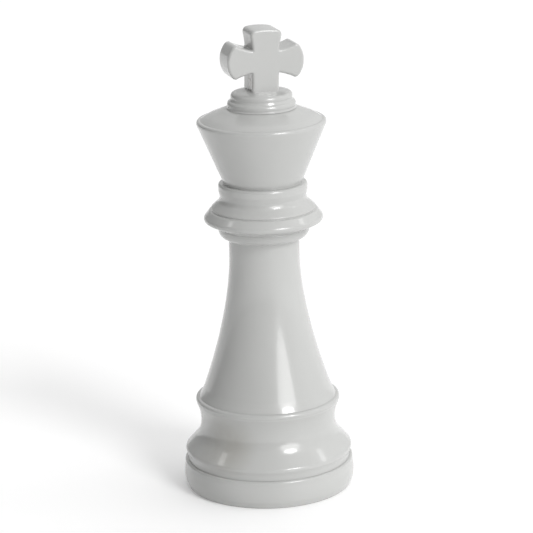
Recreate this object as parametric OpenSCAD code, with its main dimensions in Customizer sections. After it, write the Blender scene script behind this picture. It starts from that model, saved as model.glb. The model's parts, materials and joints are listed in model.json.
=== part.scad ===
// Giant lawn chess king: a sectional, hollow, sand-weighted piece that stands on its foot.
// Origin: centre of the foot, on the ground. +Z is up the axis, -Y is the front of the cross.

/* [Overall] */
// Height from the ground to the top of the cross
total_h = 638; // [634:1:642]
// Widest diameter of the plinth
plinth_d = 234; // [230:1:238]

/* [Plinth] */
// Height of the plinth band
plinth_h = 38.7; // [37:0.1:40]
// Radius of the foot where it meets the ground
foot_r = 113.6; // [112:0.1:115]
// Radius of the rounded edges of the plinth
plinth_edge = 3.2; // [2:0.1:4]
// Depth of the recess under the foot
foot_recess = 4; // [3:0.5:5]
// Width of the flat land that the foot rests on
foot_land = 9; // [7:0.5:10]

/* [Bell] */
// Radius of the crease above the plinth
ledge_r = 111.6; // [110:0.1:113]
// Height of the lower edge of the bulge
bulge_edge_z = 54.3; // [54:0.1:54.6]
// Largest radius of the bulge
bulge_r = 114.2; // [113:0.1:115]
// Radius of the round of the bulge
bulge_round = 5; // [4:0.5:6]
// Height of the centre of that round
bulge_z = 52.8; // [52.5:0.1:53.2]
// Slope of the shoulder above the bulge, from upright
bulge_slope = 42; // [40:0.5:44]
// Radius of the waist
waist_r = 92.2; // [91:0.1:93]
// Height of the waist
waist_z = 92.5; // [91:0.1:94]
// Round of the hollow above the waist
waist_upper_round = 58; // [54:0.5:62]
// Radius of the bead at its crest
bead_r = 98.6; // [98:0.1:100]
// Height of the middle of the bead
bead_z = 123; // [122:0.1:124]
// Radius of the bead's section
bead_round = 4.2; // [4:0.1:4.6]

/* [Column] */
// Height of the crease where the column leaves the bead
column_z = 127.4; // [127:0.1:128]
// Radius of the column at its foot
column_foot_r = 93.6; // [92:0.1:94]
// Radius of the column at its neck
neck_r = 47.9; // [47:0.1:49]
// Height where the column stops narrowing
neck_z = 322; // [318:1:326]
// Height of the top of the column
column_top_z = 351; // [350:0.1:352]

/* [Collar] */
// Radius of the lower ring
lower_ring_r = 61.6; // [60:0.1:62]
// Height of the crease above the lower ring
lower_ring_z = 365.6; // [365:0.1:366.5]
// Radius of the main ring
main_ring_r = 80.5; // [80:0.1:81]
// Height of the middle of the main ring
main_ring_z = 378.3; // [378:0.1:379]
// Radius of the nose of the main ring
main_ring_round = 5.2; // [4.5:0.1:6]
// Radius of the shoulder above the main ring
shoulder_r = 74.5; // [74:0.1:75]
// Height of the top of that shoulder
shoulder_z = 390; // [389.5:0.1:390.2]
// Radius of the upper ring
upper_ring_r = 70.6; // [70:0.1:71]
// Height of the middle of the upper ring
upper_ring_z = 392.3; // [392:0.1:392.6]
// Radius of the nose of the upper ring
upper_ring_round = 1.9; // [1.6:0.1:2.2]
// Radius of the hollow above the upper ring
throat_round = 12; // [10:0.5:13]
// Radius of the throat below the flange
throat_r = 58.5; // [58:0.1:59]
// Height of the throat
throat_z = 409.5; // [409:0.1:410]
// Radius of the flange
flange_r = 60.2; // [59.5:0.1:61]
// Height of the middle of the flange
flange_z = 418; // [417.5:0.1:418.5]
// Height of the crease above the flange
collar_top_z = 427.5; // [427:0.1:428]

/* [Crown] */
// Radius of the crown at its foot
crown_foot_r = 54; // [53.5:0.1:54.5]
// Radius of the crown at its rim
crown_rim_r = 87.2; // [86:0.1:88]
// Height where the wall of the crown meets the round of the rim
crown_rim_z = 508; // [507:0.1:509]
// Radius of the rounded rim
rim_round = 4; // [3:0.1:4.5]
// Height of the crown lid where it meets the button
lid_top_z = 529.2; // [528.6:0.1:529.6]

/* [Button] */
// Radius of the foot of the button, on the lid
button_foot_r = 47.4; // [47:0.1:48]
// Radius of the lower ring of the button
button_lower_r = 46.2; // [45.5:0.1:47]
// Radius of the upper ring of the button
button_upper_r = 41.6; // [41:0.1:42.5]
// Height of each ring of the button
button_ring_h = 10.7; // [10.4:0.1:11]
// Height of the button's top at the foot of the cross
button_top_z = 556; // [555.5:0.1:557]

/* [Cross] */
// Span across the side arms
cross_span = 106; // [104:0.5:110]
// Thickness from front to rear
cross_t = 43; // [40:0.5:44]
// Height of the axis of the side arms
cross_z = 594.4; // [594:0.1:596]
// Width of the stem
stem_w = 37; // [36:0.1:39]
// Width of a side arm at its root
arm_root_w = 31; // [30:0.1:33]
// Width of a side arm at its tip
arm_tip_w = 45; // [43:0.1:47]
// Width of the top arm at its tip
top_tip_w = 43; // [42:0.1:46]
// Radius of the rounded end of a side arm
side_end_r = 33; // [30:0.5:40]
// Radius of the rounded end of the top arm
top_end_r = 88; // [60:1:100]
// Radius of the corners of each arm
arm_corner_r = 7; // [5:0.5:7.5]

/* [Walls and fits] */
// Thickness of the moulded walls
wall = 3.6; // [3:0.1:4]
// Gap between pieces that are assembled and don't move
gap = 0.15; // [0.1:0.05:0.2]
// Radial clearance of a screwed joint
thread_fit = 0.05; // [0.02:0.01:0.08]

/* [Head screw joint] */
// Outer radius of the screw spigot under the head
spigot_r = 33; // [32:0.5:34]
// Length of spigot in the neck socket
spigot_l = 26; // [24:1:28]
// Thickness of the rubber washer under the head
neck_washer_t = 2; // [1.5:0.1:2.5]

/* [Filler cap] */
// Radius of the filler bore
filler_r = 17; // [16:0.5:18]
// Radius of the flange of the cap
cap_flange_r = 24; // [23:0.5:25]
// Length of the screwed part of the cap
cap_screw_l = 14; // [12:1:15]

/* [Fasteners] */
// Number of screws that hold the body on the base
screw_count = 6; // [4:1:8]
// Radius of the circle of the screws
screw_circle_r = 94; // [93:0.5:95]
// Radius of a screw's shank
screw_r = 2.5; // [2:0.1:2.8]
// Radius of a screw's head
screw_head_r = 4.8; // [4.5:0.1:5]
// Radius of the tie rod of the head
rod_r = 4; // [3.5:0.1:4.5]

/* [Hidden] */
$fn = 96;

plastic = "whitesmoke";
plinth_r = plinth_d / 2;
floor_z = foot_recess + wall;           // top of the tray's floor
tray_top_z = plinth_h - 3.4;            // seat of the tray lid
lid_t = 3;                              // thickness of the tray lid
gasket_t = 1.2;                         // thickness of the tray gasket
tray_in_r = ledge_r - 4;                // inside of the tray
boss_r = screw_head_r + 2.2;            // radius of a screw boss
screw_end_z = 62;                       // tip of a body screw
bell_rebate = 10;                       // height of the step that centres the column on the bell
throat_bore_r = spigot_r + 4;           // opening through the floor of the collar
collar_floor_z = column_top_z + neck_washer_t;
spigot_bottom_z = column_top_z - spigot_l;
crown_floor_z = collar_top_z + wall;
lid_seat_r = crown_rim_r - rim_round - 1.2;
lid_edge_z = crown_rim_z + rim_round * 1.9;
rod_bottom_z = spigot_bottom_z + 2;
rod_top_z = cross_z - 14;
insert_r = 6.5;                         // radius of the threaded insert in the cross
dowel_r = 2.5;                          // radius of a dowel between the halves of the cross

// Points on an arc of an ellipse about c, with half axes rx and rz, from angle a0 to a1
function arc(c, rx, rz, a0, a1, n = 12) =
  [for (i = [0:n]) let (a = a0 + (a1 - a0) * i / n) [c[0] + rx * cos(a), c[1] + rz * sin(a)]];

// Radius of the column at height z: a power curve with a short flare at its foot
function column_r(z) =
  let (t = min(1, (z - column_z) / (neck_z - column_z)), flare = max(0, 1 - (z - column_z) / 16))
  neck_r + (column_foot_r - 2.1 - neck_r) * pow(1 - t, 1.65) + 2.1 * flare * flare;

// Copies the children around the axis, at the screws
module at_screws() {
  for (i = [0:screw_count - 1])
    rotate([0, 0, (i + 0.5) * 360 / screw_count])
      translate([screw_circle_r, 0, 0])
        children();
}

// A plain ring from z0 to z1
module ring(r_out, r_in, z0, z1) {
  translate([0, 0, z0])
    difference() {
      cylinder(r = r_out, h = z1 - z0);
      translate([0, 0, -1])
        cylinder(r = r_in, h = z1 - z0 + 2);
    }
}

// Outline of the plinth's outside, from the foot up to the ledge
function plinth_outline() =
  concat(
    arc([foot_r - plinth_edge, plinth_edge], plinth_edge, plinth_edge, -90, -10, 6),
    arc([plinth_r - 60, plinth_h / 2], 60, 60, -10, 11, 8),
    arc([plinth_r - 1.2 - plinth_edge, plinth_h - plinth_edge], plinth_edge, plinth_edge, 15, 90, 6)
  );

// The plinth is an open tray with a filler neck in its floor
module base_tray() {
  color(plastic) {
    difference() {
      rotate_extrude()
        polygon(concat([[0, foot_recess], [foot_r - foot_land, foot_recess], [foot_r - foot_land, 0]],
          plinth_outline(), [[0, plinth_h]]));
      // inside of the tray, and the seat of the lid above it
      ring(tray_in_r, filler_r + wall, floor_z, plinth_h + 1);
      translate([0, 0, tray_top_z - gasket_t])
        cylinder(r = filler_r + wall + 1, h = plinth_h);
      translate([0, 0, tray_top_z - 0.1])
        cylinder(r = tray_in_r + 2.4, h = plinth_h);
      cylinder(r = filler_r, h = plinth_h);
      at_screws()
        cylinder(r = screw_head_r + 0.4, h = floor_z + 4);
    }
    at_screws()
      difference() {
        translate([0, 0, floor_z - 0.5])
          cylinder(r = boss_r, h = tray_top_z - gasket_t - floor_z + 0.5);
        cylinder(r = screw_r + 0.3, h = plinth_h);
        cylinder(r = screw_head_r + 0.4, h = floor_z + 4);
      }
  }
}

// Closes the tray above the sand
module tray_lid() {
  color("gainsboro")
    difference() {
      translate([0, 0, tray_top_z])
        cylinder(r = tray_in_r + 2.4 - gap, h = lid_t);
      at_screws()
        cylinder(r = screw_r + 0.3, h = plinth_h);
    }
}

// Flat ring that seals the lid on the bosses and the wall of the tray
module tray_gasket() {
  color("dimgray")
    difference() {
      ring(tray_in_r - gap, tray_in_r - 22, tray_top_z - gasket_t, tray_top_z);
      at_screws()
        cylinder(r = screw_r + 0.3, h = plinth_h);
    }
}

// Loose sand, lying level in the tray
module ballast_sand() {
  color("burlywood")
    difference() {
      ring(tray_in_r - gap, filler_r + wall + gap, floor_z + gap, tray_top_z - gasket_t - 4);
      at_screws()
        cylinder(r = boss_r + gap, h = plinth_h);
    }
}

// Pan-head screws from the underside of the base into the bosses of the bell
module body_screws() {
  color("silver")
    at_screws() {
      translate([0, 0, floor_z + 4 - 3.2])
        difference() {
          cylinder(r = screw_head_r, h = 3.2);
          translate([0, 0, -1])
            cylinder(r = 1.6, h = 2.8, $fn = 6);
        }
      translate([0, 0, floor_z + 4])
        cylinder(r = screw_r, h = screw_end_z - floor_z - 4 - 2);
      translate([0, 0, screw_end_z - 2])
        cylinder(r1 = screw_r, r2 = 0.6, h = 2);
    }
}

// Screw cap of the filler bore, turned by the bar across its dished face
module filler_cap() {
  seat_z = foot_recess - 1;
  color("gainsboro") {
    difference() {
      union() {
        translate([0, 0, seat_z - 2])
          cylinder(r = cap_flange_r, h = 2);
        translate([0, 0, seat_z - 0.5])
          cylinder(r = filler_r - thread_fit, h = cap_screw_l + 0.5);
      }
      translate([0, 0, seat_z - 3])
        cylinder(r = filler_r - wall, h = cap_screw_l + 1);
    }
    translate([0, 0, seat_z + 3])
      cube([2 * (filler_r - wall) + 0.5, 5, 10], center = true);
  }
}

// Rubber washer between the flange of the cap and the floor of the base
module filler_cap_washer() {
  color("dimgray")
    ring(cap_flange_r - 1, filler_r + 0.4, foot_recess - 1, foot_recess);
}

// Outline of the outside of the bell, from the ledge of the plinth to the crease above the bead
function bell_outline() =
  let (
    slope = bulge_slope,
    round_c = [bulge_r - bulge_round, bulge_z],
    // the hollow is tangent to the shoulder's slope and upright at the waist
    drop = waist_z - bulge_z - bulge_round * sin(slope),
    run = bulge_r - bulge_round * (1 - cos(slope)) - waist_r,
    cove = (drop * tan(slope) - run) / (sin(slope) * tan(slope) - 1 + cos(slope))
  )
  concat(
    [[ledge_r, plinth_h], [ledge_r + 0.2, plinth_h + 7]],
    arc([bulge_r - 2.4, bulge_edge_z - 2.4], 2.4, 2.4, -25, 20, 5),
    arc(round_c, bulge_round, bulge_round, 20, slope, 5),
    arc([waist_r + cove, waist_z], cove, cove, 180 + slope, 180, 12),
    arc([waist_r + waist_upper_round, waist_z + 1.5], waist_upper_round, waist_upper_round, 180, 155, 8),
    arc([bead_r - bead_round, bead_z], bead_round, bead_round, -38, 85, 10),
    [[column_foot_r, column_z]]
  );

// Lower part of the body, from the plinth to the bead, with bosses for the body screws
module bell_shell() {
  cavity = [
    [0, plinth_h + 5], [screw_circle_r - boss_r - 4, plinth_h + 5], [bulge_r - wall - 4, bulge_edge_z],
    [bulge_r - wall - 5.5, bulge_edge_z + 4], [waist_r + 2.2, waist_z - 20.5], [waist_r - wall, waist_z - 6],
    [waist_r - wall, waist_z + 8],
    [column_foot_r - wall - 2, bead_z - 10], [column_foot_r - wall - 6, column_z - bell_rebate],
    [0, column_z - bell_rebate]
  ];
  color(plastic)
    difference() {
      union() {
        difference() {
          rotate_extrude()
            polygon(concat([[0, plinth_h]], bell_outline(), [[0, column_z]]));
          rotate_extrude()
            polygon(cavity);
          // rebate that holds the foot of the column
          translate([0, 0, column_z - bell_rebate - 1])
            cylinder(r = column_foot_r - wall - 3, h = bell_rebate + 2);
          // opening in the floor of the bell
          translate([0, 0, plinth_h - 1])
            cylinder(r = screw_circle_r - boss_r - 4, h = 8);
        }
        at_screws()
          translate([0, 0, plinth_h])
            cylinder(r = boss_r, h = screw_end_z - plinth_h + 3);
      }
      at_screws()
        translate([0, 0, plinth_h - 1])
          cylinder(r = screw_r + gap, h = screw_end_z - plinth_h + 2);
    }
}

// Outline of the outside of the column, from the bead to its top
function column_outline(steps = 30) =
  concat(
    [for (i = [0:steps]) let (z = column_z + (neck_z - column_z) * i / steps) [column_r(z), z]],
    [[neck_r, column_top_z - 0.8], [neck_r - 0.8, column_top_z]]
  );

// Upper part of the body, a hollow tapered column whose foot steps into the bell
module column_shell() {
  inner_steps = 12;
  inner_end_z = spigot_bottom_z - 6;
  spigot_foot_r = column_foot_r - wall - 3 - gap;
  inner = [for (i = [0:inner_steps])
    let (z = column_z + 8 + (inner_end_z - column_z - 8) * i / inner_steps) [column_r(z) - wall, z]];
  color(plastic)
    difference() {
      rotate_extrude()
        polygon(concat([[0, column_z - bell_rebate + gap], [spigot_foot_r, column_z - bell_rebate + gap],
          [spigot_foot_r, column_z]], column_outline(), [[0, column_top_z]]));
      rotate_extrude()
        polygon(concat([[0, column_z - bell_rebate - 1], [spigot_foot_r - wall, column_z - bell_rebate - 1]],
          inner, [[0, inner_end_z]]));
      // seat of the neck socket
      translate([0, 0, inner_end_z - 1])
        cylinder(r = neck_r - wall, h = column_top_z);
    }
}

// Ring moulding in the top of the column that the head screws into
module neck_socket() {
  color("gainsboro")
    difference() {
      ring(neck_r - wall - gap, spigot_r, spigot_bottom_z - 5, column_top_z);
      // lead-in at the mouth
      translate([0, 0, column_top_z - 1.2])
        cylinder(r1 = spigot_r, r2 = spigot_r + 1.2, h = 1.3);
    }
}

// Rubber washer that the head closes down on
module neck_washer() {
  color("dimgray")
    ring(neck_r - 1, spigot_r + 0.4, column_top_z, collar_floor_z);
}

// Flanged tube under the head, with the screw joint on its outside and a web for the tie rod
module head_spigot() {
  web = 4;
  color("gainsboro")
    difference() {
      union() {
        translate([0, 0, spigot_bottom_z])
          cylinder(r = spigot_r - thread_fit, h = spigot_l + neck_washer_t + wall + gap);
        translate([0, 0, collar_floor_z + wall + gap])
          cylinder(r = spigot_r + 9, h = 4);
      }
      translate([0, 0, spigot_bottom_z + 10 + web])
        cylinder(r = spigot_r - 5, h = 60);
      translate([0, 0, spigot_bottom_z - 1])
        cylinder(r = spigot_r - 5, h = 11);
      translate([0, 0, spigot_bottom_z - 1])
        cylinder(r = rod_r + 0.3, h = 60);
    }
}

// Outline of the outside of the collar, from the top of the column to the foot of the crown
function collar_outline() =
  concat(
    arc([neck_r + 2.4, lower_ring_z - 2.2], lower_ring_r - neck_r - 2.4, lower_ring_z - 2.2 - column_top_z,
      -90, 8, 12),
    [[lower_ring_r - 0.4, lower_ring_z]],
    arc([main_ring_r - main_ring_round, main_ring_z], main_ring_round, main_ring_round, -50, 42, 10),
    arc([shoulder_r - 3.6, shoulder_z - 3.6], 3.6, 3.6, 36, 88, 6),
    [[upper_ring_r - 0.6, shoulder_z + 0.4]],
    arc([upper_ring_r - upper_ring_round, upper_ring_z], upper_ring_round, upper_ring_round, -35, 44, 6),
    arc([throat_r + throat_round, throat_z], throat_round, throat_round, 224, 178, 10),
    arc([flange_r - 3.2, flange_z], 3.2, 5.5, -30, 0, 4),
    arc([flange_r - 3.4, collar_top_z - 4.4], 3.4, 4.2, 0, 78, 8),
    [[crown_foot_r, collar_top_z]]
  );

// Collar of the head: three rings, a throat and a flange, hollow inside
module collar() {
  cavity = [
    [0, collar_floor_z + wall], [spigot_r + 10, collar_floor_z + wall],
    [lower_ring_r - wall - 2, lower_ring_z - 2], [main_ring_r - wall - 6, main_ring_z - 2],
    [main_ring_r - wall - 6, main_ring_z + 2], [throat_r - wall, throat_z - 4],
    [throat_r - wall, collar_top_z - wall], [0, collar_top_z - wall]
  ];
  color(plastic)
    difference() {
      rotate_extrude()
        polygon(concat([[0, collar_floor_z], [neck_r + 0.3, collar_floor_z], [neck_r + 0.3, column_top_z]],
          collar_outline(), [[0, collar_top_z]]));
      rotate_extrude()
        polygon(cavity);
      translate([0, 0, column_top_z])
        cylinder(r = spigot_r + gap, h = 20);
      // opening that the step of the crown drops into
      translate([0, 0, collar_top_z - wall - 1])
        cylinder(r = throat_r - wall - 8, h = wall + 2);
    }
}

// Hollow cone of the crown, with a floor that steps into the collar
module crown_cup() {
  step_r = throat_r - wall - 8 - gap;
  wall_slope = (crown_rim_r - 0.9 - crown_foot_r) / (crown_rim_z - collar_top_z);
  outline = concat(
    [[0, collar_top_z], [crown_foot_r - 0.4, collar_top_z], [crown_foot_r - 0.2, collar_top_z + 1.6]],
    arc([crown_rim_r - rim_round, crown_rim_z + 1.6], rim_round, rim_round, -22, 90, 10),
    [[0, crown_rim_z + 1.6 + rim_round]]
  );
  color(plastic)
    difference() {
      union() {
        rotate_extrude()
          polygon(outline);
        translate([0, 0, collar_top_z - wall])
          cylinder(r = step_r, h = wall + 1);
      }
      rotate_extrude()
        polygon([[0, crown_floor_z], [crown_foot_r - wall, crown_floor_z],
          [crown_foot_r - wall + wall_slope * (lid_edge_z - 10 - crown_floor_z), lid_edge_z - 10],
          [0, lid_edge_z - 10]]);
      // mouth, and the rebate that the lid sits in
      translate([0, 0, lid_edge_z - 11])
        cylinder(r = lid_seat_r - 3, h = 40);
      translate([0, 0, lid_edge_z - 3.4])
        cylinder(r = lid_seat_r, h = 40);
      translate([0, 0, collar_top_z - wall - 1])
        cylinder(r = rod_r + 0.3, h = 40);
    }
}

// Conical lid of the crown
module crown_lid() {
  edge_r = lid_seat_r - gap;
  top_r = button_foot_r + 0.2;
  color(plastic)
    difference() {
      rotate_extrude()
        polygon([[0, lid_edge_z - 3.4], [edge_r, lid_edge_z - 3.4], [edge_r, lid_edge_z + 0.1],
          [top_r, lid_top_z], [0, lid_top_z]]);
      rotate_extrude()
        polygon([[0, lid_edge_z - 4], [edge_r - 8, lid_edge_z - 4], [top_r - 2, lid_top_z - wall],
          [0, lid_top_z - wall]]);
      translate([0, 0, lid_top_z - 10])
        cylinder(r = 20, h = 20);
    }
}

// Button under the cross: two round-edged rings and a shallow domed top
module finial_button() {
  half = button_ring_h / 2;
  dome_h = button_top_z - lid_top_z - 2 * button_ring_h;
  dome_edge_r = button_upper_r - 3.4;
  dome_r = (dome_edge_r * dome_edge_r + dome_h * dome_h) / (2 * dome_h);
  dome_a = asin(dome_edge_r / dome_r);
  outline = concat(
    [[0, lid_top_z], [button_foot_r, lid_top_z], [button_lower_r - 0.4, lid_top_z + 1.6]],
    arc([button_lower_r - 4.6, lid_top_z + half], 4.6, half, -25, 76, 10),
    arc([button_upper_r - 4.6, lid_top_z + 3 * half], 4.6, half, -25, 70, 10),
    arc([0, button_top_z - dome_r], dome_r, dome_r, 90 - dome_a, 90, 8)
  );
  color(plastic)
    difference() {
      union() {
        rotate_extrude()
          polygon(outline);
        translate([0, 0, lid_top_z - wall])
          cylinder(r = 20 - gap, h = wall + 1);
      }
      translate([0, 0, lid_top_z - wall - 1])
        cylinder(r = rod_r + 0.3, h = 60);
      // hollow of the moulding
      translate([0, 0, lid_top_z + 3])
        difference() {
          cylinder(r = button_upper_r - wall - 5, h = 2 * button_ring_h - 7);
          translate([0, 0, -1])
            cylinder(r = rod_r + wall, h = 40);
        }
      // seat of the cross, cut to the width of its stem
      translate([0, 0, button_top_z])
        cube([stem_w + 2 * gap, cross_t + 2 * gap, 6], center = true);
    }
}

// Half outline of an arm along +X, from its root to the middle of its rounded end
function half_arm(length, root_w, tip_w, root_x, end_r) =
  let (
    end_c = length - end_r,
    corner_w = tip_w / 2 - arm_corner_r,
    corner_x = end_c + sqrt(pow(end_r - arm_corner_r, 2) - corner_w * corner_w),
    end_a = atan2(corner_w, corner_x - end_c)
  )
  concat(
    [for (i = [0:7]) let (t = i / 8)
      [root_x + (corner_x - root_x) * t, root_w / 2 + (tip_w - root_w) / 2 * pow(t, 1.4)]],
    arc([corner_x, corner_w], arm_corner_r, arm_corner_r, 95, end_a, 6),
    arc([end_c, 0], end_r, end_r, end_a * 0.8, 0, 5)
  );

// Whole outline of an arm, turned by a about the middle of the cross, without its last root corner
function whole_arm(length, root_w, tip_w, root_x, end_r, a) =
  let (half = half_arm(length, root_w, tip_w, root_x, end_r), n = len(half))
  [for (p = concat([for (p = half) [p[0], -p[1]]], [for (i = [2:n - 1]) half[n - i]]))
    [p[0] * cos(a) - p[1] * sin(a), p[0] * sin(a) + p[1] * cos(a)]];

// Outline of the cross, seen from the front, with the origin where the arms meet
module cross_outline() {
  foot = button_top_z - 3 - cross_z;
  side = cross_span / 2;
  polygon(concat(
    [[stem_w / 2, foot]],
    whole_arm(side, arm_root_w, arm_tip_w, stem_w / 2, side_end_r, 0),
    whole_arm(total_h - cross_z, stem_w, top_tip_w, arm_root_w / 2, top_end_r, 90),
    whole_arm(side, arm_root_w, arm_tip_w, stem_w / 2, side_end_r, 180),
    [[-stem_w / 2, -arm_root_w / 2], [-stem_w / 2, foot]]
  ));
}

// Where the dowels between the halves of the cross stand
module at_dowels() {
  for (p = [[-38, cross_z], [38, cross_z], [0, cross_z + 32], [0, cross_z + 10]])
    translate([p[0], 0, p[1]])
      rotate([90, 0, 0])
        children();
}

// One half of the cross, on the -Y side of the joint, with its hollow for the insert and rod
module cross_half() {
  difference() {
    translate([0, -gap / 2, cross_z])
      rotate([90, 0, 0])
        linear_extrude(height = cross_t / 2 - gap / 2)
          cross_outline();
    at_dowels()
      translate([0, 0, -10])
        cylinder(r = dowel_r + gap, h = 20);
    translate([0, 0, button_top_z - 10])
      cylinder(r = rod_r + 0.3, h = cross_z - button_top_z - 4);
    translate([0, 0, button_top_z + 4])
      cylinder(r = insert_r + gap, h = 20);
  }
}

module cross_front() {
  color(plastic)
    cross_half();
}

module cross_rear() {
  color(plastic)
    rotate([0, 0, 180])
      cross_half();
}

// Dowels that line up the two halves of the cross
module cross_dowels() {
  color("gainsboro")
    at_dowels()
      translate([0, 0, -9.5])
        cylinder(r = dowel_r, h = 19);
}

// Threaded insert moulded into the stem of the cross, which the tie rod screws into
module cross_insert() {
  color("goldenrod")
    difference() {
      translate([0, 0, button_top_z + 4 + gap])
        cylinder(r = insert_r, h = 20 - 2 * gap);
      translate([0, 0, button_top_z])
        cylinder(r = rod_r + thread_fit, h = 40);
    }
}

// Rod that pulls the cross, button, lid, crown and collar down on the spigot
module tie_rod() {
  color("silver")
    translate([0, 0, rod_bottom_z])
      cylinder(r = rod_r, h = rod_top_z - rod_bottom_z);
}

module tie_washer() {
  color("silver")
    ring(11, rod_r + 0.3, spigot_bottom_z + 10 - 1.6, spigot_bottom_z + 10);
}

module tie_nut() {
  nut_h = 5;
  color("silver")
    translate([0, 0, spigot_bottom_z + 10 - 1.6 - nut_h])
      difference() {
        cylinder(r = 7.5, h = nut_h, $fn = 6);
        translate([0, 0, -1])
          cylinder(r = rod_r + thread_fit, h = nut_h + 2);
      }
}

base_tray();
tray_lid();
tray_gasket();
ballast_sand();
body_screws();
filler_cap();
filler_cap_washer();
bell_shell();
column_shell();
neck_socket();
neck_washer();
head_spigot();
collar();
crown_cup();
crown_lid();
finial_button();
cross_front();
cross_rear();
cross_dowels();
cross_insert();
tie_rod();
tie_nut();
tie_washer();
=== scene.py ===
import json
import math

import bmesh
import bpy
from mathutils import Matrix, Vector
from mathutils.geometry import intersect_line_line_2d


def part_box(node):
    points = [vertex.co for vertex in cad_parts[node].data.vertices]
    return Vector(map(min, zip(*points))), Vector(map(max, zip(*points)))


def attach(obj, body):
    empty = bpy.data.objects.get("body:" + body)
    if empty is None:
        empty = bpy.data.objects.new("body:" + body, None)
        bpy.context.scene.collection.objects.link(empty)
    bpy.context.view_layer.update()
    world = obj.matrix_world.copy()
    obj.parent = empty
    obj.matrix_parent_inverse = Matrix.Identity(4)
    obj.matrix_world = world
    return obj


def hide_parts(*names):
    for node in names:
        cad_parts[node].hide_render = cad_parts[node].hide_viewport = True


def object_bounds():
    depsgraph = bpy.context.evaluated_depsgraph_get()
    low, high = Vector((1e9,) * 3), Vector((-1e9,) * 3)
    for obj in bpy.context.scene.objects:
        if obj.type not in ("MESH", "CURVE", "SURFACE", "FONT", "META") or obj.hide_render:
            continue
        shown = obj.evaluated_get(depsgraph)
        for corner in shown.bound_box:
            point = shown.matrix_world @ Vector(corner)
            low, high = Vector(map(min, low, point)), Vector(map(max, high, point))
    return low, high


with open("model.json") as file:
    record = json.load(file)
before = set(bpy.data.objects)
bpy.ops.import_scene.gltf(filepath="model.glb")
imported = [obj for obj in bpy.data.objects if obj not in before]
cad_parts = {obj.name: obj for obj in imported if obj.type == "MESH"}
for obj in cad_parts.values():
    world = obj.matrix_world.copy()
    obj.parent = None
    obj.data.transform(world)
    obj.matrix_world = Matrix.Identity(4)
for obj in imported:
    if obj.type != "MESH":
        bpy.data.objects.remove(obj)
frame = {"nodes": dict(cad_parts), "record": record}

cad_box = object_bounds()
nodes = frame["nodes"]
record = frame["record"]
bodies = record["behaviour"]["bodies"]
body_of_node = {node: body for body, members in bodies.items() for node in members}
slot_of_node = {part["node"]: part["material_slot"] for part in record["subparts"]}
scene = bpy.context.scene

MM = 0.001
FINE = 192  # segments of a large lathe
MEDIUM = 128  # segments of a small lathe
FINIAL_LEAN = math.radians(1.8)
STEM_SCUFF = (-19 * MM, -8 * MM, 566 * MM)  # dark marks low on the left of the cross, taken as worn paint
BELL_PAINTED_SHADE = (-78 * MM, -58 * MM, 76 * MM)  # painted shade: a darker patch on the front left of the bell
SEAM = 0.1 * MM  # round of an edge that closes on its neighbour
COVER_GAP = 0.2 * MM  # clearance around the lid of the crown, that the look closes up
SPIGOT_R = 32.95 * MM
CAP_R = 16.95 * MM
HEAD_LEAD = 12 * MM  # rise of the head in a turn
CAP_LEAD = 4 * MM
THREAD_EDGE = 0.5 * MM  # round of the edges of the threaded pieces
SCREW_COUNT = 6
SCREW_HEAD_R = 4.8 * MM
SCREW_HEAD_H = 3.2 * MM
SCREW_BORE_R = 2.8 * MM
CROSS_ROUND = 3.6 * MM  # round of the outer edges of the cross
CROSS_CORNER = 2.2 * MM
HOLD = 0.4 * MM  # width of the narrow face beside a round, that keeps the flat next to it flat


# ---------------------------------------------------------------- camera and light

CAMERA_AZIMUTH = -16.5  # degrees from the front of the cross, towards its left arm
CAMERA_PITCH = 15.68  # degrees below the horizon
CAMERA_ROLL = -1.33
CAMERA_DISTANCE = 3.420
CAMERA_HEIGHT = 1.268
CAMERA_SIDE = 0.0025
CAMERA_LENS = 176.6


def add_camera():
    pitch, roll, azimuth = map(math.radians, (CAMERA_PITCH, CAMERA_ROLL, CAMERA_AZIMUTH))
    placed = Matrix.Translation((CAMERA_SIDE, -CAMERA_DISTANCE, CAMERA_HEIGHT))
    tilted = Matrix.Rotation(math.pi / 2 - pitch, 4, "X") @ Matrix.Rotation(roll, 4, "Z")
    data = bpy.data.cameras.new("camera")
    data.sensor_width = 36
    data.lens = CAMERA_LENS
    camera = bpy.data.objects.new("camera", data)
    camera.matrix_world = Matrix.Rotation(azimuth, 4, "Z") @ placed @ tilted
    scene.collection.objects.link(camera)
    scene.camera = camera


def add_sun(name, azimuth, elevation, strength, width, shadow=True):
    """A distant soft light: azimuth is from the camera, positive to its right, and width is its angle."""
    data = bpy.data.lights.new(name, "SUN")
    data.energy = strength
    data.angle = math.radians(width)
    data.use_shadow = shadow
    lamp = bpy.data.objects.new(name, data)
    a, e = math.radians(azimuth + CAMERA_AZIMUTH), math.radians(elevation)
    towards = Vector((math.sin(a) * math.cos(e), -math.cos(a) * math.cos(e), math.sin(e)))
    lamp.rotation_euler = towards.to_track_quat("Z", "Y").to_euler()
    scene.collection.objects.link(lamp)


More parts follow.
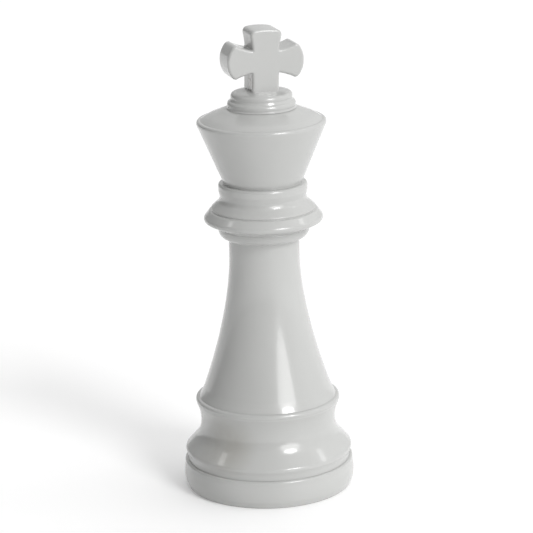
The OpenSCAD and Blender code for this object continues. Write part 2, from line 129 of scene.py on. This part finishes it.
def add_studio():
    world = bpy.data.worlds.new("studio")
    scene.world = world
    world.use_nodes = True
    tree = world.node_tree
    background = tree.nodes["Background"]
    direction = tree.nodes.new("ShaderNodeTexCoord").outputs["Generated"]
    bright = math.radians(CAMERA_AZIMUTH + 128)

    def ramp(along, low, high, at_low, at_high):
        """A grey that changes along a direction of the room."""
        dot = tree.nodes.new("ShaderNodeVectorMath")
        dot.operation = "DOT_PRODUCT"
        dot.inputs[1].default_value = along
        tree.links.new(direction, dot.inputs[0])
        span = tree.nodes.new("ShaderNodeMapRange")
        span.interpolation_type = "SMOOTHSTEP"
        for socket, value in (("From Min", low), ("From Max", high), ("To Min", at_low), ("To Max", at_high)):
            span.inputs[socket].default_value = value
        tree.links.new(dot.outputs["Value"], span.inputs["Value"])
        return span.outputs["Result"]

    # the room is dark beside the camera, and white behind the object and overhead
    total = tree.nodes.new("ShaderNodeMath")
    total.operation = "ADD"
    tree.links.new(ramp((math.sin(bright), -math.cos(bright), 0), -0.7, 0.95, 0.04, 0.8), total.inputs[0])
    tree.links.new(ramp((0, 0, 1), 0.0, 1.0, 0.0, 0.46), total.inputs[1])
    tree.links.new(total.outputs["Value"], background.inputs["Color"])
    # key_low draws the streak on the column; it is a fill that casts no shadow
    add_sun("key", 39, 39.5, 1.1, 18)
    add_sun("key_low", 36, 22.5, 1.1, 32, shadow=False)
    add_sun("right", 98, 39, 0.05, 7)
    add_sun("left", -90, 46, 0.05, 7)
    scene.view_settings.view_transform = "Standard"


# ---------------------------------------------------------------- outlines

def chain(edges):
    """The vertices of the longest run of joined edges, in order, and whether the run is closed."""
    links = {}
    for edge in edges:
        for v in edge.verts:
            links.setdefault(v, []).append(edge)
    unused = set(edges)
    runs = []
    while unused:
        ends = [v for e in unused for v in e.verts if sum(x in unused for x in links[v]) == 1]
        here = ends[0] if ends else next(iter(unused)).verts[0]
        run = [here]
        while True:
            step = next((e for e in links[here] if e in unused), None)
            if step is None:
                break
            unused.discard(step)
            here = step.other_vert(here)
            run.append(here)
        runs.append(run)
    best = max(runs, key=lambda run: sum((a.co - b.co).length for a, b in zip(run, run[1:])))
    closed = best[0] is best[-1]
    return best[:-1] if closed else best, closed


def outline_of(node, angle=0.0):
    """(radius, height) points of a turned CAD node, where a half plane through the axis cuts it."""
    bm = bmesh.new()
    bm.from_mesh(nodes[node].data)
    bmesh.ops.remove_doubles(bm, verts=bm.verts, dist=1e-6)
    rings = {}
    for v in bm.verts:
        key = (round(math.hypot(v.co.x, v.co.y), 5), round(v.co.z, 5))
        rings[key] = rings.get(key, 0) + 1
    rings = [Vector(key) for key, count in rings.items() if count >= 16 or key[0] < 1e-5]
    a = math.radians(angle + 0.7)
    along, across = Vector((math.cos(a), math.sin(a), 0)), Vector((-math.sin(a), math.cos(a), 0))
    for normal, clear in ((along, True), (across, False)):
        everything = bm.verts[:] + bm.edges[:] + bm.faces[:]
        cut = bmesh.ops.bisect_plane(bm, geom=everything, dist=1e-7, plane_co=(0, 0, 0), plane_no=normal,
                                     clear_inner=clear)["geom_cut"]
    run, closed = chain([e for e in cut if isinstance(e, bmesh.types.BMEdge)])
    points = []
    for v in run:
        at = Vector((v.co.dot(along), v.co.z))
        nearest = min(rings, key=lambda ring: (ring - at).length_squared)
        if (nearest - at).length < 0.15 * MM and (not points or (points[-1] - nearest).length > 1e-6):
            points.append(nearest)
        elif at.x < 1e-5 and (not points or (points[-1] - at).length > 1e-6):
            points.append(Vector((0, at.y)))
    bm.free()
    if closed and (points[0] - points[-1]).length < 1e-6:
        points.pop()
    return points, closed


def rounded(points, closed, edge, gentle=32.0, sharp_below=-1.0):
    """Rounds an outline: a gentle turn over half of its sides, a sharp corner by the length edge,
    and the corners at its very top and bottom, where it meets its neighbours, by a hairline."""
    n = len(points)
    lowest, highest = min(p.y for p in points), max(p.y for p in points)
    curve = []
    for i, p in enumerate(points):
        if p.y < sharp_below or not closed and i in (0, n - 1):
            curve.append(p.copy())
            continue
        back, ahead = points[i - 1] - p, points[(i + 1) % n] - p
        turn = 180 - math.degrees(back.angle(ahead))
        reach = 0.5 * min(back.length, ahead.length)
        if turn > gentle:
            reach = min(reach, SEAM if min(p.y - lowest, highest - p.y) < SEAM else edge)
        start, end = p + back.normalized() * reach, p + ahead.normalized() * reach
        steps = min(7, round(turn / 8) + 1)
        for k in range(steps + 1):
            t = k / steps
            curve.append(start * (1 - t) ** 2 + p * (2 * t * (1 - t)) + end * t ** 2)
    return held([q for i, q in enumerate(curve) if i == 0 or (q - curve[i - 1]).length > 2e-6], closed)


def held(curve, closed, hold=0.35 * MM, longest=12 * MM):
    """Splits the long straight stretches, with a point near each end that keeps their shading flat."""
    if closed and (curve[0] - curve[-1]).length < 2e-6:
        curve = curve[:-1]
    filled = []
    pairs = zip(curve, curve[1:] + curve[:1]) if closed else zip(curve, curve[1:])
    for a, b in pairs:
        filled.append(a)
        length = (b - a).length
        if length > 4 * hold:
            count = max(1, math.ceil((length - 2 * hold) / longest))
            filled += [a.lerp(b, (hold + (length - 2 * hold) * k / count) / length) for k in range(count + 1)]
    if not closed:
        filled.append(curve[-1])
    return filled


# ---------------------------------------------------------------- meshes

def finish_mesh(name, bm):
    """The bmesh as a smooth-shaded object of that name in the scene."""
    bmesh.ops.remove_doubles(bm, verts=bm.verts, dist=1e-6)
    bmesh.ops.recalc_face_normals(bm, faces=bm.faces)
    for face in bm.faces:
        face.smooth = True
    mesh = bpy.data.meshes.new(name)
    bm.to_mesh(mesh)
    bm.free()
    piece = bpy.data.objects.new(name, mesh)
    scene.collection.objects.link(piece)
    return piece


def lathe(name, curve, closed, segments=FINE, dent=None):
    """Turns a curve about the axis. dent(angle, radius, height) is added to the radius."""
    bm = bmesh.new()
    columns = []
    for k in range(segments):
        a = 2 * math.pi * k / segments
        column = []
        for r, z in curve:
            radius = r + dent(a, r, z) if dent else r
            column.append(bm.verts.new((radius * math.cos(a), radius * math.sin(a), z)))
        columns.append(column)
    spans = len(curve) if closed else len(curve) - 1
    for k, column in enumerate(columns):
        following = columns[(k + 1) % segments]
        for i in range(spans):
            j = (i + 1) % len(curve)
            bm.faces.new((column[i], following[i], following[j], column[j]))
    return finish_mesh(name, bm)


def stand_for(piece, node, material):
    """Puts a finished piece in a CAD node's place."""
    piece.data.materials.append(material)
    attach(piece, body_of_node[node])
    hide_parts(node)
    return piece


def turned(name, node, material, edge, lean=None):
    """A piece turned about the axis, from the outline of its CAD node."""
    points, closed = outline_of(node)
    piece = lathe(name, rounded(points, closed, edge), closed)
    if lean:
        piece.data.transform(lean)
    return stand_for(piece, node, material)


def cut_away(piece, cutter):
    """Takes the cutter out of the piece, and drops the cutter."""
    boolean = piece.modifiers.new("cut", "BOOLEAN")
    boolean.object = cutter
    boolean.operation = "DIFFERENCE"
    boolean.solver = "EXACT"
    bpy.context.view_layer.update()
    evaluated = piece.evaluated_get(bpy.context.evaluated_depsgraph_get())
    mesh = bpy.data.meshes.new_from_object(evaluated)
    piece.modifiers.clear()
    piece.data = mesh
    bpy.data.objects.remove(cutter)


# ---------------------------------------------------------------- materials

class Shader:
    """A procedural material in object coordinates, with short calls for the nodes that it uses."""

    def __init__(self, name, **constants):
        self.material = bpy.data.materials.new(name)
        self.material.use_nodes = True
        self.tree = self.material.node_tree
        self.surface = self.tree.nodes["Principled BSDF"]
        self.place = self.add("ShaderNodeTexCoord").outputs["Object"]
        for socket, value in constants.items():
            self.surface.inputs[socket.replace("_", " ")].default_value = value

    def add(self, kind, links=None, **settings):
        node = self.tree.nodes.new(kind)
        for key, value in settings.items():
            setattr(node, key, value)
        for socket, value in (links or {}).items():
            if isinstance(value, bpy.types.NodeSocket):
                self.tree.links.new(value, node.inputs[socket])
            else:
                node.inputs[socket].default_value = value
        return node

    def noise(self, scale, detail=3.0, rough=0.55, place=None, distortion=0.0):
        links = {"Vector": place or self.place, "Scale": scale, "Detail": detail, "Roughness": rough,
                 "Distortion": distortion}
        return self.add("ShaderNodeTexNoise", links).outputs["Fac"]

    def cells(self, scale, feature="F1"):
        links = {"Vector": self.place, "Scale": scale}
        return self.add("ShaderNodeTexVoronoi", links, feature=feature).outputs["Distance"]

    def stretch(self, x, y, z):
        return self.add("ShaderNodeMapping", {"Vector": self.place, "Scale": (x, y, z)}).outputs["Vector"]

    def height(self):
        return self.add("ShaderNodeSeparateXYZ", {"Vector": self.place}).outputs["Z"]

    def span(self, value, low, high, to_low=0.0, to_high=1.0):
        links = {"Value": value, "From Min": low, "From Max": high, "To Min": to_low, "To Max": to_high}
        return self.add("ShaderNodeMapRange", links, clamp=True).outputs["Result"]

    def near(self, point, reach):
        """1 at that point, falling to 0 at that distance from it."""
        away = self.add("ShaderNodeVectorMath", {0: self.place, 1: point}, operation="DISTANCE")
        return self.span(away.outputs["Value"], 0.35 * reach, reach, 1.0, 0.0)

    def times(self, a, b):
        return self.add("ShaderNodeMath", {0: a, 1: b}, operation="MULTIPLY").outputs["Value"]

    def blend(self, factor, a, b):
        node = self.add("ShaderNodeMix", data_type="RGBA")
        for socket, value in ((node.inputs[0], factor), (node.inputs[6], a), (node.inputs[7], b)):
            if isinstance(value, bpy.types.NodeSocket):
                self.tree.links.new(value, socket)
            else:
                socket.default_value = (*value, 1) if isinstance(value, tuple) else value
        return node.outputs[2]

    def bump(self, height, strength, distance, below=None):
        links = {"Height": height, "Strength": strength, "Distance": distance}
        if below is not None:
            links["Normal"] = below
        return self.add("ShaderNodeBump", links).outputs["Normal"]

    def done(self, color, roughness, normal):
        for socket, value in (("Base Color", color), ("Roughness", roughness), ("Normal", normal)):
            self.tree.links.new(value, self.surface.inputs[socket])
        return self.material


def gloss_white():
    """Sprayed gloss over moulded plastic: faint orange peel, soft waves, dust that settles near the foot, and
    a patch of painted shade on the bell.
    """
    s = Shader("gloss_white", IOR=1.5, Coat_Weight=0.35, Coat_Roughness=0.06, Coat_IOR=1.5)
    patches = s.span(s.noise(9, 4), 0.3, 0.7)
    color = s.blend(patches, (0.43, 0.433, 0.424), (0.455, 0.458, 0.449))
    low = s.span(s.height(), 0.0, 0.03, 0.16, 0.0)
    dust = s.times(low, s.span(s.noise(70, 5, 0.65), 0.42, 0.72))
    color = s.blend(dust, color, (0.40, 0.385, 0.35))
    specks = s.span(s.cells(140), 0.012, 0.04, 0.12, 0.0)
    color = s.blend(specks, color, (0.45, 0.44, 0.42))
    scuff = s.times(s.near(STEM_SCUFF, 16 * MM), s.span(s.noise(180, 4, 0.7), 0.4, 0.6, 0.0, 0.8))
    color = s.blend(scuff, color, (0.15, 0.13, 0.10))
    # painted shade: darkens a patch on the front left of the bell, with a warm tint
    bell_painted_shade = s.times(s.near(BELL_PAINTED_SHADE, 50 * MM), s.span(s.noise(24, 4), 0.3, 0.6, 0.1, 0.45))
    color = s.blend(bell_painted_shade, color, (0.30, 0.285, 0.25))
    rough = s.span(s.noise(26, 5, 0.6), 0.3, 0.75, 0.16, 0.27)
    waves = s.bump(s.noise(11, 2), 0.1, 0.8 * MM)
    peel = s.bump(s.noise(260, 3), 0.10, 0.25 * MM, waves)
    return s.done(color, rough, peel)


def moulded_grey():
    """Plain moulded plastic of the inner pieces, with a fine spark-eroded grain and flow streaks."""
    s = Shader("moulded_grey", IOR=1.46)
    streaks = s.span(s.noise(14, 4, place=s.stretch(1, 1, 0.25)), 0.35, 0.65)
    color = s.blend(streaks, (0.50, 0.50, 0.49), (0.57, 0.57, 0.56))
    rough = s.span(s.noise(60, 4), 0.3, 0.7, 0.38, 0.52)
    grain = s.bump(s.noise(1400, 2), 0.25, 0.12 * MM)
    return s.done(color, rough, grain)


def black_rubber():
    s = Shader("black_rubber", IOR=1.5)
    bloom = s.span(s.noise(60, 5, 0.65), 0.42, 0.7)
    color = s.blend(bloom, (0.018, 0.018, 0.02), (0.055, 0.055, 0.058))
    rough = s.span(s.noise(120, 4), 0.3, 0.7, 0.55, 0.78)
    grain = s.bump(s.noise(1800, 3), 0.4, 0.15 * MM)
    return s.done(color, rough, grain)


def metal(name, light, dark, brushed):
    """Plated or turned metal: fine lines along brushed, and patches of duller plating."""
    s = Shader(name, Metallic=1.0)
    patches = s.span(s.noise(90, 5, 0.6), 0.35, 0.7)
    color = s.blend(patches, light, dark)
    lines = s.noise(500, 3, place=s.stretch(*brushed))
    rough = s.span(lines, 0.3, 0.7, 0.24, 0.42)
    normal = s.bump(lines, 0.18, 0.05 * MM)
    return s.done(color, rough, normal)


def loose_sand():
    s = Shader("loose_sand", IOR=1.45)
    grains = s.cells(1300)
    tone = s.blend(s.span(s.noise(900, 3), 0.3, 0.7), (0.42, 0.31, 0.19), (0.66, 0.54, 0.38))
    color = s.blend(s.span(s.noise(30, 4), 0.35, 0.65, 0.0, 0.35), tone, (0.30, 0.22, 0.14))
    rough = s.span(s.noise(400, 2), 0.3, 0.7, 0.8, 0.95)
    normal = s.bump(grains, 0.8, 0.6 * MM)
    return s.done(color, rough, normal)


def pale_floor():
    s = Shader("pale_floor", Emission_Color=(1, 1, 1, 1), Emission_Strength=0.04)
    color = s.blend(s.span(s.noise(0.7, 2), 0.3, 0.7), (0.94, 0.94, 0.94), (0.95, 0.95, 0.95))
    rough = s.span(s.noise(3, 2), 0.3, 0.7, 0.75, 0.85)
    normal = s.bump(s.noise(60, 2), 0.05, 0.2 * MM)
    return s.done(color, rough, normal)


FINISHES = {
    "white_gloss": gloss_white(),
    "inner_plastic": moulded_grey(),
    "rubber": black_rubber(),
    "steel": metal("zinc_steel", (0.62, 0.63, 0.65), (0.42, 0.43, 0.45), (1, 1, 6)),
    "brass": metal("turned_brass", (0.72, 0.53, 0.24), (0.52, 0.36, 0.15), (1, 1, 6)),
    "sand": loose_sand(),
}


# ---------------------------------------------------------------- pieces

def leaning(upright=False):
    """The finial stands off the axis, to the right of the front, as it was screwed down. A piece that
    is upright is sheared, so that its rings stay level on the lid."""
    foot_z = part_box("crown_lid")[0].z
    tilt = Matrix.Rotation(FINIAL_LEAN, 4, "Y")
    if upright:
        tilt = Matrix.Identity(4)
        tilt[0][2] = math.tan(FINIAL_LEAN)
    return Matrix.Translation((0, 0, foot_z)) @ tilt @ Matrix.Translation((0, 0, -foot_z))


def helix(radius, lead, starts, depth, low, high):
    """The dents of a thread cut into a cylinder of that radius between two heights."""
    def dent(a, r, z):
        if abs(r - radius) > 0.3 * MM or not low < z < high:
            return 0.0
        phase = (z / lead - a / (2 * math.pi)) * starts % 1.0
        groove = 0.5 - 0.5 * math.cos(2 * math.pi * phase)
        fade = min(1.0, (z - low) / (1.5 * MM), (high - z) / (1.5 * MM))
        return -depth * groove ** 0.7 * fade
    return dent


def finer(curve, radius, step):
    """Splits the upright stretches at that radius into short steps, for a thread."""
    fine = []
    for a, b in zip(curve, curve[1:] + curve[:1]):
        fine.append(a)
        if abs(a.x - radius) < 0.3 * MM and abs(b.x - radius) < 0.3 * MM:
            count = max(1, math.ceil((b - a).length / step))
            fine += [a.lerp(b, k / count) for k in range(1, count)]
    return fine


def turned_pieces():
    white = FINISHES["white_gloss"]
    turned("bell", "bell_shell", white, edge=0.7 * MM)
    turned("column", "column_shell", white, edge=SEAM)
    turned("collar_rings", "collar", white, edge=0.8 * MM)
    turned("crown", "crown_cup", white, edge=SEAM)
    crown_cover()
    turned("button", "finial_button", white, edge=0.8 * MM, lean=leaning(upright=True))


def crown_cover():
    """The lid of the crown, whose edge comes down to the rim of the crown and closes on it."""
    points, closed = outline_of("crown_lid")
    edge_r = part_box("crown_lid")[1].x
    rim_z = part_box("crown_cup")[1].z
    for p in points:
        if p.x > edge_r - 0.3 * MM:
            p.x += COVER_GAP
            p.y = min(p.y, rim_z + 0.05 * MM)
    piece = lathe("crown_cover", rounded(points, closed, SEAM), closed)
    stand_for(piece, "crown_lid", FINISHES["white_gloss"])


def base():
    """The plinth, with the counterbored holes of the screws that hold the bell on it."""
    points, closed = outline_of("base_tray")
    piece = lathe("plinth", rounded(points, closed, 0.6 * MM), closed)
    screws_lo, screws_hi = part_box("body_screws")
    circle_r = screws_hi.y - SCREW_HEAD_R
    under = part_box("base_tray")[0].z - 5 * MM
    seat = screws_lo.z + SCREW_HEAD_H
    bores = ((SCREW_HEAD_R + 0.4 * MM, under, seat), (SCREW_BORE_R, seat - MM, seat + 30 * MM))
    bm = bmesh.new()
    for i in range(SCREW_COUNT):
        a = math.radians((i + 0.5) * 360 / SCREW_COUNT)
        at = Vector((circle_r * math.cos(a), circle_r * math.sin(a), 0))
        for radius, low, high in bores:
            spot = Matrix.Translation(at + Vector((0, 0, (low + high) / 2)))
            bmesh.ops.create_cone(bm, cap_ends=True, segments=40, radius1=radius, radius2=radius,
                                  depth=high - low, matrix=spot)
    mesh = bpy.data.meshes.new("holes")
    bm.to_mesh(mesh)
    bm.free()
    cutter = bpy.data.objects.new("holes", mesh)
    scene.collection.objects.link(cutter)
    cut_away(piece, cutter)
    stand_for(piece, "base_tray", FINISHES["white_gloss"])


def threaded(name, node, angle, radius, step, segments, thread):
    """A turned piece with a thread on its outside; thread is (lead, starts, depth, low, high)."""
    points, closed = outline_of(node, angle)
    curve = finer(rounded(points, closed, THREAD_EDGE), radius, step)
    piece = lathe(name, curve, closed, segments, helix(radius, *thread))
    return stand_for(piece, node, FINISHES["inner_plastic"])


def screw_joints():
    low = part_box("head_spigot")[0].z + MM
    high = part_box("neck_washer")[0].z + 0.5 * MM
    threaded("head_screw", "head_spigot", 0, SPIGOT_R, 0.45 * MM, MEDIUM,
             (HEAD_LEAD, 3, 1.5 * MM, low, high))
    lo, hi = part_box("filler_cap")
    threaded("cap_moulding", "filler_cap", 90, CAP_R, 0.4 * MM, 144,
             (CAP_LEAD, 1, 1.2 * MM, lo.z + 2.6 * MM, hi.z - 0.6 * MM))


def cross_outline(node):
    """The outline of a half of the cross at its flat outer face, as (x, z) points in order."""
    bm = bmesh.new()
    bm.from_mesh(nodes[node].data)
    bmesh.ops.remove_doubles(bm, verts=bm.verts, dist=1e-6)
    lo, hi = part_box(node)
    face_y = lo.y if abs(lo.y) > abs(hi.y) else hi.y
    flat = {f for f in bm.faces if all(abs(v.co.y - face_y) < 1e-5 for v in f.verts)}
    rim = [e for e in bm.edges if sum(f in flat for f in e.link_faces) == 1]
    points = [Vector((v.co.x, v.co.z)) for v in chain(rim)[0]]
    bm.free()
    return points, face_y


def inset(points, amount):
    """Moves a closed outline inwards by that amount. Its foot keeps its height, and only gets narrower."""
    n = len(points)
    foot_z = min(p.y for p in points)
    foot_x = max(p.x for p in points if p.y < foot_z + MM)
    area = sum(a.x * b.y - b.x * a.y for a, b in zip(points, points[1:] + points[:1]))
    side = 1 if area > 0 else -1
    moved = []
    for i, p in enumerate(points):
        if p.y < foot_z + MM:
            moved.append(Vector((max(amount - foot_x, min(foot_x - amount, p.x)), p.y)))
            continue
        u, v = (p - points[i - 1]).normalized(), (points[(i + 1) % n] - p).normalized()
        a, b = Vector((-u.y, u.x)) * side, Vector((-v.y, v.x)) * side
        half = (a + b).normalized()
        moved.append(p + half * (amount / max(0.5, half.dot(a))))
    for _ in range(40):
        flipped = [i for i in range(n)
                   if (moved[(i + 1) % n] - moved[i]).dot(points[(i + 1) % n] - points[i]) < -1e-12]
        for i in flipped:
            moved[i] = moved[(i + 1) % n] = (moved[i] + moved[(i + 1) % n]) / 2
        if not flipped:
            break
    for i in range(n):
        for reach in range(14, 1, -1):
            ends = [moved[(i + k) % n] for k in (0, 1, reach, reach + 1)]
            crossing = intersect_line_line_2d(*ends)
            if crossing and (crossing - ends[0]).length > 1e-7 and (crossing - ends[3]).length > 1e-7:
                for k in range(1, reach + 1):
                    moved[(i + k) % n] = crossing.copy()
                break
    return moved


def cross_half(name, node, lean):
    """A half of the cross: its outer edge has a full round, and its edge at the joint a hairline one."""
    points, face_y = cross_outline(node)
    foot_z = min(p.y for p in points)
    outline = rounded(points, True, CROSS_CORNER, gentle=25, sharp_below=foot_z + MM)
    out = 1 if face_y > 0 else -1
    joint_y = 0.02 * MM * out
    steps = 8
    rings = [(SEAM, joint_y), (0.0, joint_y + out * SEAM), (0.0, joint_y + out * (SEAM + HOLD)),
             (0.0, face_y - out * (CROSS_ROUND + HOLD))]
    for k in range(steps + 1):
        a = math.pi / 2 * k / steps
        rings.append((CROSS_ROUND * (1 - math.cos(a)), face_y - out * CROSS_ROUND * (1 - math.sin(a))))
    rings.append((CROSS_ROUND + HOLD, face_y))
    bm = bmesh.new()
    loops = []
    for amount, y in rings:
        loops.append([bm.verts.new((p.x, y, p.y)) for p in inset(outline, amount)])
    for a, b in zip(loops, loops[1:]):
        for i in range(len(outline)):
            j = (i + 1) % len(outline)
            bm.faces.new((a[i], a[j], b[j], b[i]))
    flats = [bm.faces.new(loops[-1]), bm.faces.new(loops[0][::-1])]
    bmesh.ops.remove_doubles(bm, verts=bm.verts, dist=5e-6)
    flats = [face for face in flats if face.is_valid]
    bmesh.ops.triangulate(bm, faces=flats, ngon_method="EAR_CLIP")
    for edge in bm.edges:
        edge.smooth = any(v.co.z > foot_z + 0.01 * MM for v in edge.verts)
    piece = finish_mesh(name, bm)
    piece.data.transform(lean)
    return stand_for(piece, node, FINISHES["white_gloss"])


def carried_over():
    """CAD nodes that stay as they are take the finish of their slot."""
    for name, node in nodes.items():
        if not node.hide_render:
            node.data.materials.clear()
            node.data.materials.append(FINISHES[slot_of_node[name]])


def floor():
    bm = bmesh.new()
    reach = 30.0
    for x, y in ((-1, -1), (1, -1), (1, 1), (-1, 1)):
        bm.verts.new((x * reach, y * reach, cad_box[0].z))
    bm.faces.new(bm.verts)
    ground = finish_mesh("ground", bm)
    ground.data.materials.append(pale_floor())


add_camera()
add_studio()
floor()
turned_pieces()
base()
screw_joints()
for half in ("cross_front", "cross_rear"):
    cross_half(half + "_half", half, leaning())
carried_over()
